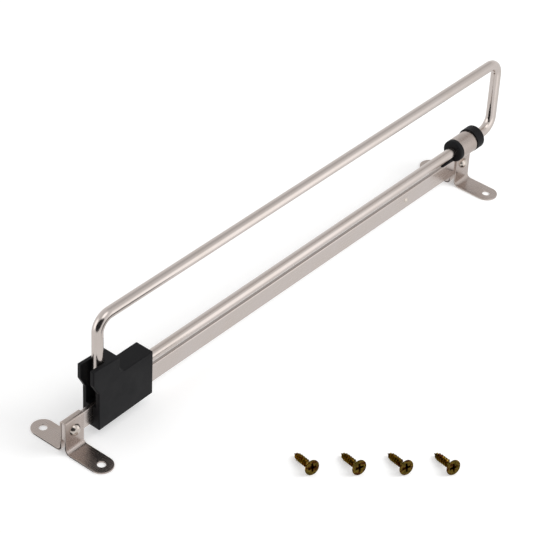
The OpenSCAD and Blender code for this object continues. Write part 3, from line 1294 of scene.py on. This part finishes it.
@dataclass(frozen=True)
class Slider(Assembly):
    """The plastic block that grips the loop's rear corner and rides on the bar."""

    loop: WireLoop
    # Heights are over the lower wire's axis, and places along the bar from the rear leg's axis
    width: float = 15.5
    # Length of the block's foot, and how much of it lies behind the leg
    length: float = 52.0
    tail: float = 6.5
    roof_h: float = 11.4
    roof_fillet: float = 5.0
    # Tower: its heights at the back and at the front, and where its front face stands
    tower_h: float = 26.6
    tower_front_h: float = 25.4
    tower_front: float = 13.4
    # How far the tower overhangs the back, and the heights at which the overhang slopes in
    overhang: float = 5.0
    overhang_high: float = 14.8
    overhang_low: float = 5.4
    # Thickness under the bar's slot, at the back and at the front
    floor_back_t: float = 3.3
    floor_front_t: float = 2.1
    # How far each side leans in at the tower's top, and the height at which it starts to
    side_lean: float = 0.3
    lean_start: float = 2.8
    # Clearances round the leg and in the wire's tunnel, and the clamp screw's hole
    leg_clear: float = 0.5
    tunnel_clear: float = 0.05
    clamp_r: float = 1.5
    # Rounding of the outline's corners and of its rims
    corner_r: float = 0.7
    rim_r: float = 0.8

    body: ClassVar[Body] = Body.LOOP

    def outline(self) -> list[Point2]:
        """Lays the block's outline as seen from the side.

        Returns:
            Points from the rear leg's axis and the lower wire's axis.
        """
        slot_low = self.seats.bar_low - self.seats.wire_z - BAR_CLEAR
        front, back, r = self.length - self.tail, -self.tail - self.overhang, self.corner_r
        return rounded([(-self.tail, slot_low - self.floor_back_t, r),
                        (front, slot_low - self.floor_front_t, r), (front, self.roof_h, r),
                        (self.tower_front, self.roof_h, self.roof_fillet),
                        (self.tower_front, self.tower_front_h, r), (back, self.tower_h, r),
                        (back, self.overhang_high, r), (-self.tail, self.overhang_low, r)],
                       2 * EDGE_STEPS)

    def leaned(self, co: Vector) -> Point3:
        """Puts a point of the straight block where the leaning sides have it.

        Args:
            co: The point, with the outline on X and Y.

        Returns:
            Its place on the rod.
        """
        rise = max(0.0, co.y - self.lean_start)
        lean = self.side_lean * rise / (self.tower_h - self.lean_start)
        return (self.seats.leg_x + co.x, co.z * (1 - lean / (self.width / 2)),
                self.seats.wire_z + co.y)

    def tools(self) -> list[bmesh.types.BMesh]:
        """Makes the tools for the leg's slot, the wire's bend and tunnel, the bar and the screw.

        Returns:
            The tools' meshes.
        """
        s, wire_r, bend_r = self.seats, self.loop.wire_r, self.loop.bend_r
        slot_r = wire_r + self.leg_clear
        back = self.tail + self.overhang + OVERRUN
        slot = [(-back, -slot_r), *arc((0, 0), slot_r, -90, 90, ROUND_STEPS // 2), (-back, slot_r)]
        low, high = s.bar_top - s.wire_z, self.tower_h + OVERRUN
        middle = s.wire_z + (low + high) / 2
        leg_slot = reshape(slab([slot], high - low, CUTTER_RIM),
                           lambda co: (s.leg_x + co.x, co.y, middle + co.z))
        bend = bmesh.new()
        rings = []
        for px, pz in arc((bend_r, bend_r), bend_r, 180, 270, round(90 / BEND_STEP)):
            out = Vector((px - bend_r, 0, pz - bend_r)).normalized()
            rings.append(around(bend, Vector((s.leg_x + px, 0, s.wire_z + pz)), out, slot_r))
        for below, above in zip(rings, rings[1:]):
            bridge(bend, below, above)
        cap(bend, rings[:1])
        cap(bend, rings[-1:])
        start = s.leg_x + bend_r
        tunnel = rod_tool((start - CUTTER_LAP, 0, s.wire_z), (start + self.length, 0, s.wire_z),
                          wire_r + self.tunnel_clear)
        half = s.bar_half + BAR_CLEAR
        bar_slot = block((s.leg_x - back, -half, s.bar_low - BAR_CLEAR),
                         (s.leg_x + self.length + OVERRUN, half, s.bar_top + BAR_CLEAR))
        far = self.width / 2 + OVERRUN
        clamp = rod_tool((s.clamp_x, 0, s.wire_z), (s.clamp_x, far, s.wire_z), self.clamp_r)
        return [leg_slot, bend, tunnel, bar_slot, clamp]

    def build(self) -> list[bpy.types.Object]:
        """Moulds and dresses the block.

        Returns:
            The block.
        """
        bm = slab([self.outline()], self.width, self.rim_r)
        score(bm, (0, 1, 0), [self.lean_start])
        piece = piece_from("corner_slider", reshape(bm, self.leaned))
        carve(piece, self.tools(), Carve.AWAY)
        return [self.dress(piece, BLACK_NYLON, "slider_block")]


@dataclass(frozen=True)
class ClampScrew(Assembly):
    """The pan-head screw on the slider's far side that bears on the wire."""

    head_r: float = 2.6
    head_h: float = 1.8
    shank_r: float = 1.47
    # Distances of the tip and of the head's underside from the wire's axis
    tip: float = 4.03
    seat: float = 7.75
    # Rounded edge of the head: its radius, the height of its centre as a share of what the radius
    # leaves of the head, and the angle that it turns through
    edge_r: float = 0.9
    edge_rise: float = 0.8
    edge_turn: float = 70.0
    # How far the crown has fallen where the recess's blades end
    crown_fall: float = 0.05
    recess: float = 3.0
    blade: float = 0.75
    recess_depth: float = 1.0

    body: ClassVar[Body] = Body.LOOP

    def build(self) -> list[bpy.types.Object]:
        """Builds and dresses the screw.

        Returns:
            The screw.
        """
        top = self.seat + self.head_h
        edge_z = self.seat + (self.head_h - self.edge_r) * self.edge_rise
        edge = arc((self.head_r - self.edge_r, edge_z), self.edge_r, 0, self.edge_turn, 2 * EDGE_STEPS)
        bm = turned([(0, self.tip), (self.shank_r, self.tip), (self.shank_r, self.seat),
                     (self.head_r, self.seat), *edge,
                     (self.recess / 2, top - self.crown_fall), (0, top)])
        place = (Matrix.Translation((self.seats.clamp_x, 0, self.seats.wire_z))
                 @ Matrix.Rotation(math.radians(-90), 4, "X"))
        bm.transform(place)
        piece = piece_from("pan_clamp_screw", bm)
        tool = cross_tool(self.recess, self.blade, self.recess_depth, top)
        tool.transform(place)
        carve(piece, [tool], Carve.AWAY)
        return [self.dress(piece, HEADED_RIVET, "clamp_screw")]


@dataclass(frozen=True)
class WoodScrews(Assembly):
    """Four countersunk wood screws that lie in a row before the rod."""

    count: int = 4
    length: float = 22.0
    thread_r: float = 2.75
    core_r: float = 1.5
    # Length of the point, and the core's radius at its tip as a share of the full one
    point_l: float = 5.5
    tip_share: float = 0.12
    # Head: its radius, its rim's height and rounding, and its cone's height as a share of its room
    head_r: float = 5.5
    rim_t: float = 0.66
    lip_r: float = 0.18
    cone_share: float = 0.98
    cone_steps: int = 6
    neck_l: float = 0.6
    # Thread: its pitch, its start over the tip, the length over which it grows to its full
    # height, and the power with which it grows. The lying screw rests on it that far from its tip.
    pitch: float = 2.3
    first_turn: float = 0.9
    lean_at: float = 6.19
    growth: float = 0.7
    turn_steps: int = 40
    # Section of the thread: places along a pitch, and heights over the core, as shares of the
    # pitch and of the thread's height
    thread_shares: tuple[Point2, ...] = ((0.0, 0.0), (0.28, 0.0), (0.42, 0.9), (0.5, 1.0),
                                         (0.58, 0.9), (0.72, 0.0))
    recess: float = 6.6
    blade: float = 1.5
    recess_depth: float = 2.9
    # Row: the first screw's place from the rear leg and the bar, the step to the next, and the
    # screws' heading
    row_x: float = 67.0
    row_y: float = 123.0
    step_x: float = 21.3
    step_y: float = 22.7
    heading: float = -107.0

    def core(self, height: float) -> float:
        """Gives the core's radius at a height over the tip, with its slim point."""
        bulge = math.sin(min(1.0, height / self.point_l) * math.pi / 2)
        return self.core_r * (self.tip_share + (1 - self.tip_share) * bulge)

    def thread(self, height: float) -> float:
        """Gives the thread's height over the core, which dies out at both ends.

        Args:
            height: Height over the tip.

        Returns:
            The thread's height.
        """
        start = min(1.0, max(0.0, height - self.first_turn / 2) / self.lean_at)
        end = min(1.0, max(0.0, self.thread_end + self.pitch / 2 - height) / (self.pitch / 2))
        return (self.thread_r - self.core_r) * start ** self.growth * end

    @property
    def head_h(self) -> float:
        """Height of the head's cone."""
        return self.head_r - self.core_r

    @property
    def thread_end(self) -> float:
        """Height at which the full thread ends."""
        return self.length - self.rim_t - self.head_h - self.neck_l

    def vertex(self, bm: bmesh.types.BMesh, step: int, radius: float,
               height: float) -> bmesh.types.BMVert:
        """Makes a vertex at a step round the screw's axis."""
        angle = 2 * math.pi * step / self.turn_steps
        return bm.verts.new((radius * math.cos(angle), radius * math.sin(angle), height))

    def screw(self) -> bmesh.types.BMesh:
        """Makes the point and the thread as one closed helical skin, with the head on top.

        Returns:
            The screw, with its tip at the origin and its head up.
        """
        bm = bmesh.new()
        steps = self.turn_steps
        last = steps * math.floor((self.thread_end - self.first_turn) / self.pitch)
        helix: list[list[bmesh.types.BMVert]] = []
        for i in range(last + 1):
            base = self.first_turn + self.pitch * i / steps
            column = []
            for share, crest in self.thread_shares:
                height = base + share * self.pitch
                radius = self.core(height) + self.thread(height) * crest
                column.append(self.vertex(bm, i, radius, height))
            helix.append(column)
        lids = []
        for i in range(last, last + steps + 1):
            height = self.first_turn + self.pitch * i / steps
            lids.append(self.vertex(bm, i, self.core(height), height))
        # The vertex that closes each column at its top: the foot of the column one turn on
        above = [column[0] for column in helix[steps:]] + lids[1:]
        for i in range(last):
            here, ahead = [*helix[i], above[i]], [*helix[i + 1], above[i + 1]]
            for k in range(len(self.thread_shares)):
                bm.faces.new((here[k], ahead[k], ahead[k + 1], here[k + 1]))
        self.close_point(bm, helix)
        self.close_head(bm, helix, lids)
        return bm

    def close_point(self, bm: bmesh.types.BMesh, helix: list[list[bmesh.types.BMVert]]) -> None:
        """Closes the thread's start down to the screw's point.

        Args:
            bm: The screw's mesh.
            helix: The thread's columns of vertices, each from its foot.
        """
        steps = self.turn_steps
        tip = bm.verts.new((0, 0, 0))
        for i in range(steps - 1):
            bm.faces.new((tip, helix[i + 1][0], helix[i][0]))
        bm.faces.new((tip, *helix[0], helix[steps][0], helix[steps - 1][0]))

    def close_head(self, bm: bmesh.types.BMesh, helix: list[list[bmesh.types.BMVert]],
                   lids: list[bmesh.types.BMVert]) -> None:
        """Closes the thread's end with the neck, the cone, the rim and the flat face.

        Args:
            bm: The screw's mesh.
            helix: The thread's columns of vertices, each from its foot.
            lids: The core's vertices over the thread's last turn.
        """
        steps, head_h, lip = self.turn_steps, self.head_h, self.lip_r
        cone_z = self.thread_end + self.neck_l
        slopes = [math.radians(90 * k / self.cone_steps) for k in range(self.cone_steps)]
        flare = [(self.core_r + head_h * (1 - math.cos(a)),
                  cone_z + head_h * math.sin(a) * self.cone_share) for a in slopes]
        profile = [*flare, (self.head_r, self.length - self.rim_t), (self.head_r, self.length - lip),
                   (self.head_r - lip, self.length)]
        rings = [[self.vertex(bm, i, radius, height) for i in range(steps)]
                 for radius, height in profile]
        for below, above in zip(rings, rings[1:]):
            bridge(bm, below, above)
        bm.faces.new(rings[-1])
        for i in range(steps - 1):
            bm.faces.new((lids[i], lids[i + 1], rings[0][i + 1], rings[0][i]))
        seam = [lids[steps - 1], lids[steps], *reversed(helix[-1][1:]), rings[0][0], rings[0][-1]]
        bm.faces.new(seam)

    def lying(self, number: int) -> Matrix:
        """Gives the move that lays a screw in the row, resting on its head's rim and its thread.

        Args:
            number: Place in the row, from 0.

        Returns:
            The move, in metres.
        """
        run = self.length - self.rim_t - self.lean_at
        tilt = math.atan((self.head_r - self.thread_r) / run)
        lift = self.head_r * math.cos(tilt) - (self.length / 2 - self.rim_t) * math.sin(tilt)
        place = Vector((self.seats.leg_x + self.row_x + number * self.step_x,
                        -self.row_y - number * self.step_y, lift))
        return (Matrix.Translation(place * MM) @ Matrix.Rotation(math.radians(self.heading), 4, "Z")
                @ Matrix.Rotation(math.pi / 2 - tilt, 4, "Y")
                @ Matrix.Translation((0, 0, -self.length / 2 * MM)))

    def build(self) -> list[bpy.types.Object]:
        """Builds one screw, lays copies of it in their row and dresses them.

        Returns:
            The screws.
        """
        upright = piece_from("wood_screw_upright", self.screw())
        recess = cross_tool(self.recess, self.blade, self.recess_depth, self.length)
        carve(upright, [recess], Carve.AWAY)
        made = []
        for number in range(self.count):
            mesh = upright.data.copy()
            mesh.transform(self.lying(number))
            piece = bpy.data.objects.new(f"wood_screw_{number + 1}", mesh)
            bpy.context.scene.collection.objects.link(piece)
            made.append(self.dress(piece, SCREW_ZINC, "mounting_screws"))
        bpy.data.objects.remove(upright)
        return made


# Studio


def panel(name: str, half_w: float, half_h: float, height: float) -> bpy.types.Object:
    """Makes a level rectangle about the Z axis.

    Args:
        name: Its name.
        half_w: Half its size along X.
        half_h: Half its size along Y.
        height: Its height over the origin.

    Returns:
        The rectangle, with no material.
    """
    bm = bmesh.new()
    bm.faces.new([bm.verts.new((x * half_w, y * half_h, height))
                  for x, y in ((-1, -1), (1, -1), (1, 1), (-1, 1))])
    return piece_from(name, bm)


@dataclass(frozen=True)
class Lobe:
    """A soft patch of light or shade in the room, as reflections see it."""

    azimuth: float
    elevation: float
    # Radiance that the patch adds to the room's
    change: float
    # Angles from the patch's middle at which it starts to fade and at which it ends
    full: float
    edge: float


@dataclass(frozen=True)
class Card:
    """A card or softbox beside the object, which only reflections see."""

    name: str
    # Point that the card faces, and where it stands from there
    target: Point3
    azimuth: float
    elevation: float
    distance: float
    half_w: float
    half_h: float
    radiance: float
    # Where the card starts to fade, as a share of its half sizes
    solid_share: float

    def build(self) -> None:
        """Stands the card facing its target."""
        way = bearing(self.azimuth, self.elevation)
        card = panel(self.name, self.half_w, self.half_h, 0)
        card.matrix_world = standing((Vector(self.target) + way * self.distance) * MM, way)
        for ray in ("camera", "diffuse", "transmission", "volume_scatter", "shadow"):
            setattr(card, f"visible_{ray}", False)
        material = shaded(self.name, self.surface)
        # The card isn't sampled as a lamp
        material.cycles.emission_sampling = "NONE"
        card.data.materials.append(material)

    def surface(self, tree: bpy.types.NodeTree) -> Socket:
        """Adds the nodes of the card, which fades to nothing at its rim.

        Args:
            tree: The material's empty tree.

        Returns:
            The output of the shader.
        """
        place = add(tree, "ShaderNodeTexCoord").outputs["Object"]
        spread = (per_metre(self.half_w), per_metre(self.half_h), 0.0)
        shares = add(tree, "ShaderNodeVectorMath", {0: place}, operation="MULTIPLY", in_1=spread)
        reach = add(tree, "ShaderNodeVectorMath", {0: shares.outputs[0]}, operation="LENGTH")
        fade = add(tree, "ShaderNodeMapRange", {"Value": reach.outputs["Value"]},
                   interpolation_type="SMOOTHSTEP", From_Min=self.solid_share, From_Max=1.0,
                   To_Min=1.0, To_Max=0.0)
        clear = add(tree, "ShaderNodeBsdfTransparent")
        glow = add(tree, "ShaderNodeEmission", Strength=self.radiance)
        return add(tree, "ShaderNodeMixShader", {0: fade.outputs[0], 1: clear.outputs[0],
                                                 2: glow.outputs[0]}).outputs[0]


@dataclass(frozen=True)
class Studio:
    """White floor, soft light and the camera at the photograph's angle."""

    # Camera, fitted to the photograph. Its azimuth is turned from -Y towards -X.
    azimuth: float = 51.1413
    elevation: float = 36.5336
    roll: float = 2.869
    distance: float = 1480.31
    aim: Point3 = (-82.20, -44.47, 109.37)
    lens: float = 151.35
    sensor: float = 36.0
    shift: Point2 = (0.01238, -0.0204)
    # How far the camera sees, in metres
    sight_m: float = 100.0
    # Floor, and the glow of its paper that only the camera sees, which makes it show white
    floor_span: float = 12000.0
    floor_drop: float = 0.05
    paper_colour: str = "#F2F2F2"
    paper_glow: str = "#909090"
    # Radiance of the room in reflections at the horizon, overhead and below. The last is reached
    # where the sine of the elevation is below_from.
    horizon: float = 0.86
    overhead: float = 0.68
    below: float = 0.84
    below_from: float = -0.3
    # Radiance of the room for all other light
    fill: float = 0.72
    # Lamp on the near right side
    key_power_w: float = 9.0
    key_size: float = 900.0
    key_place: Point3 = (700.0, -900.0, 900.0)
    # A duller patch high over the front, a bright one low at the far rear, and a softbox over the
    # near side
    lobes: tuple[Lobe, ...] = (
        Lobe(azimuth=18, elevation=52, change=-0.14, full=8, edge=25),
        Lobe(azimuth=144, elevation=16, change=0.7, full=14, edge=32),
        Lobe(azimuth=250, elevation=64, change=0.85, full=14, edge=26),
    )
    cards: tuple[Card, ...] = (
        # Lights the near side of the loop's rear half
        Card("softbox_side", (-90.0, 0.0, 60.0), azimuth=-50, elevation=4, distance=350, half_w=294,
             half_h=294, radiance=1.36, solid_share=0.3),
        # Darkens the loop's upper rear bend
        Card("dark_card_rear", (-186.0, 0.0, 90.0), azimuth=214, elevation=18, distance=300,
             half_w=320, half_h=205, radiance=0.02, solid_share=0.9),
        # Darken the rear side of the two rivet heads
        Card("dark_card_rear_rivet", (-215.0, -9.0, 17.0), azimuth=166, elevation=-50, distance=40,
             half_w=18, half_h=26, radiance=0.02, solid_share=0.7),
        Card("dark_card_front_rivet", (215.0, -9.0, 18.0), azimuth=166, elevation=-50, distance=9,
             half_w=5, half_h=6, radiance=0.02, solid_share=0.7),
        # Darkens the bar's top edge under the wire
        Card("dark_card_behind_bar", (30.0, 0.0, 31.0), azimuth=90, elevation=0, distance=5,
             half_w=240, half_h=4, radiance=0.48, solid_share=0.9),
        # Darken the rear rims of the far feet, which stand over their own shadow
        Card("dark_card_by_rear_foot", (-227.5, 18.0, 0.0), azimuth=0, elevation=-90, distance=1,
             half_w=4, half_h=19, radiance=0.03, solid_share=0.9),
        Card("dark_card_by_front_foot", (202.5, 18.0, 0.0), azimuth=0, elevation=-90, distance=1,
             half_w=4, half_h=19, radiance=0.03, solid_share=0.9),
        # Darken the wood screws from above and below
        Card("dark_card_over_screws", (-81.0, -172.0, 0.0), azimuth=0, elevation=90, distance=24,
             half_w=90, half_h=90, radiance=0.12, solid_share=0.8),
        Card("dark_card_under_screws", (-81.0, -172.0, 0.0), azimuth=0, elevation=-90, distance=3,
             half_w=90, half_h=90, radiance=0.24, solid_share=0.8),
    )

    def build(self) -> None:
        """Builds the whole studio."""
        for card in self.cards:
            card.build()
        self.build_camera()
        self.build_world()
        self.build_floor()
        self.build_key()
        scene = bpy.context.scene
        scene.view_settings.view_transform = "Standard"
        LOG.info("studio: camera %.0f mm away, %d lobes, %d cards", self.distance, len(self.lobes),
                 len(self.cards))

    def build_camera(self) -> None:
        """Places the camera where the photograph was taken from."""
        az, el, tilt = (math.radians(v) for v in (self.azimuth, self.elevation, self.roll))
        back = Vector((-math.sin(az) * math.cos(el), -math.cos(az) * math.cos(el), math.sin(el)))
        level = Vector((math.cos(az), -math.sin(az), 0))
        upright = back.cross(level)
        right = level * math.cos(tilt) + upright * math.sin(tilt)
        up = upright * math.cos(tilt) - level * math.sin(tilt)
        data = bpy.data.cameras.new("photo_camera")
        data.sensor_width, data.lens = self.sensor, self.lens
        data.shift_x, data.shift_y = self.shift
        data.clip_end = self.sight_m
        camera = bpy.data.objects.new("photo_camera", data)
        camera.matrix_world = (Matrix.Translation((Vector(self.aim) + back * self.distance) * MM)
                               @ Matrix((right, up, back)).transposed().to_4x4())
        bpy.context.scene.collection.objects.link(camera)
        bpy.context.scene.camera = camera

    def room(self, tree: bpy.types.NodeTree) -> Socket:
        """Adds the room that reflections see: a soft gradient with its lobes.

        Args:
            tree: The world's node tree.

        Returns:
            The room's radiance.
        """
        way = add(tree, "ShaderNodeTexCoord").outputs["Generated"]
        height = add(tree, "ShaderNodeSeparateXYZ", {0: way}).outputs["Z"]
        upper = add(tree, "ShaderNodeMapRange", {"Value": height}, interpolation_type="SMOOTHSTEP",
                    To_Min=self.horizon, To_Max=self.overhead)
        lower = add(tree, "ShaderNodeMapRange", {"Value": height}, From_Min=self.below_from,
                    From_Max=0.0, To_Min=self.below - self.horizon, To_Max=0.0)
        light = add(tree, "ShaderNodeMath", {0: upper.outputs[0], 1: lower.outputs[0]},
                    operation="ADD").outputs[0]
        for lobe in self.lobes:
            facing = add(tree, "ShaderNodeVectorMath", {0: way}, operation="DOT_PRODUCT",
                         in_1=bearing(lobe.azimuth, lobe.elevation))
            patch = add(tree, "ShaderNodeMapRange", {"Value": facing.outputs["Value"]},
                        interpolation_type="SMOOTHSTEP", From_Min=math.cos(math.radians(lobe.edge)),
                        From_Max=math.cos(math.radians(lobe.full)), To_Min=0.0, To_Max=lobe.change)
            light = add(tree, "ShaderNodeMath", {0: light, 1: patch.outputs[0]},
                        operation="ADD").outputs[0]
        return light

    def build_world(self) -> None:
        """Makes the world: white to the camera, the room to reflections, a plain fill to the rest."""
        world = bpy.data.worlds.new("soft_room")
        world.use_nodes = True
        tree = world.node_tree
        tree.nodes.clear()
        path = add(tree, "ShaderNodeLightPath")
        glossy, camera = path.outputs["Is Glossy Ray"], path.outputs["Is Camera Ray"]
        plain = add(tree, "ShaderNodeMix", {"Factor": glossy, 3: self.room(tree)}, data_type="FLOAT",
                    in_2=self.fill)
        seen = add(tree, "ShaderNodeMix", {"Factor": camera, 2: plain.outputs[0]}, data_type="FLOAT",
                   in_3=1.0)
        glow = add(tree, "ShaderNodeBackground", {"Strength": seen.outputs[0]}, Color=linear("#FFFFFF"))
        add(tree, "ShaderNodeOutputWorld", {"Surface": glow.outputs[0]})
        bpy.context.scene.world = world

    def build_floor(self) -> None:
        """Lays the white floor, which keeps the object's shadow but stays out of its reflections."""
        half = self.floor_span / 2
        floor = panel("studio_floor", half, half, -self.floor_drop)
        floor.visible_glossy = False
        floor.data.materials.append(shaded("white_studio_paper", self.paper))

    def paper(self, tree: bpy.types.NodeTree) -> Socket:
        """Adds the nodes of the floor's paper.

        Args:
            tree: The material's empty tree.

        Returns:
            The output of the shader.
        """
        matt = add(tree, "ShaderNodeBsdfDiffuse", Color=linear(self.paper_colour))
        path = add(tree, "ShaderNodeLightPath")
        glow = add(tree, "ShaderNodeEmission", {"Strength": path.outputs["Is Camera Ray"]},
                   Color=linear(self.paper_glow))
        return add(tree, "ShaderNodeAddShader", {0: matt.outputs[0], 1: glow.outputs[0]}).outputs[0]

    def build_key(self) -> None:
        """Hangs the large soft key light on the near right side."""
        data = bpy.data.lights.new("key_softbox", "AREA")
        data.shape, data.size = "SQUARE", self.key_size * MM
        data.energy = self.key_power_w
        key = bpy.data.objects.new("key_softbox", data)
        place = Vector(self.key_place) * MM
        key.visible_glossy = False
        key.matrix_world = standing(place, place)
        bpy.context.scene.collection.objects.link(key)


def main() -> None:
    """Builds the studio and every sub-assembly in order, and reports each piece."""
    logging.basicConfig(level=logging.INFO, format="%(name)s: %(message)s")
    Studio().build()
    seats = Seats.from_frame(WireLoop.wire_r)
    loop = WireLoop(seats)
    assemblies: tuple[Assembly, ...] = (
        loop,
        GuideBar(seats),
        RearBracket(seats),
        FrontBracket(seats),
        Rivet(seats, "rear_domed_rivet", "rear_rivet", seats.rear_x, seats.rear_rivet_z, head_r=4.5),
        Rivet(seats, "front_domed_rivet", "front_rivet", seats.front_x, seats.bar_mid_z, head_r=4.0),
        Bush(seats),
        Slider(seats, loop),
        ClampScrew(seats),
        WoodScrews(seats),
    )
    for assembly in assemblies:
        for piece in assembly.build():
            LOG.info("%s: %d faces, %s, rides on %s", piece.name, len(piece.data.polygons),
                     piece.active_material.name, assembly.body.value)


if __name__ == "__main__":
    main()
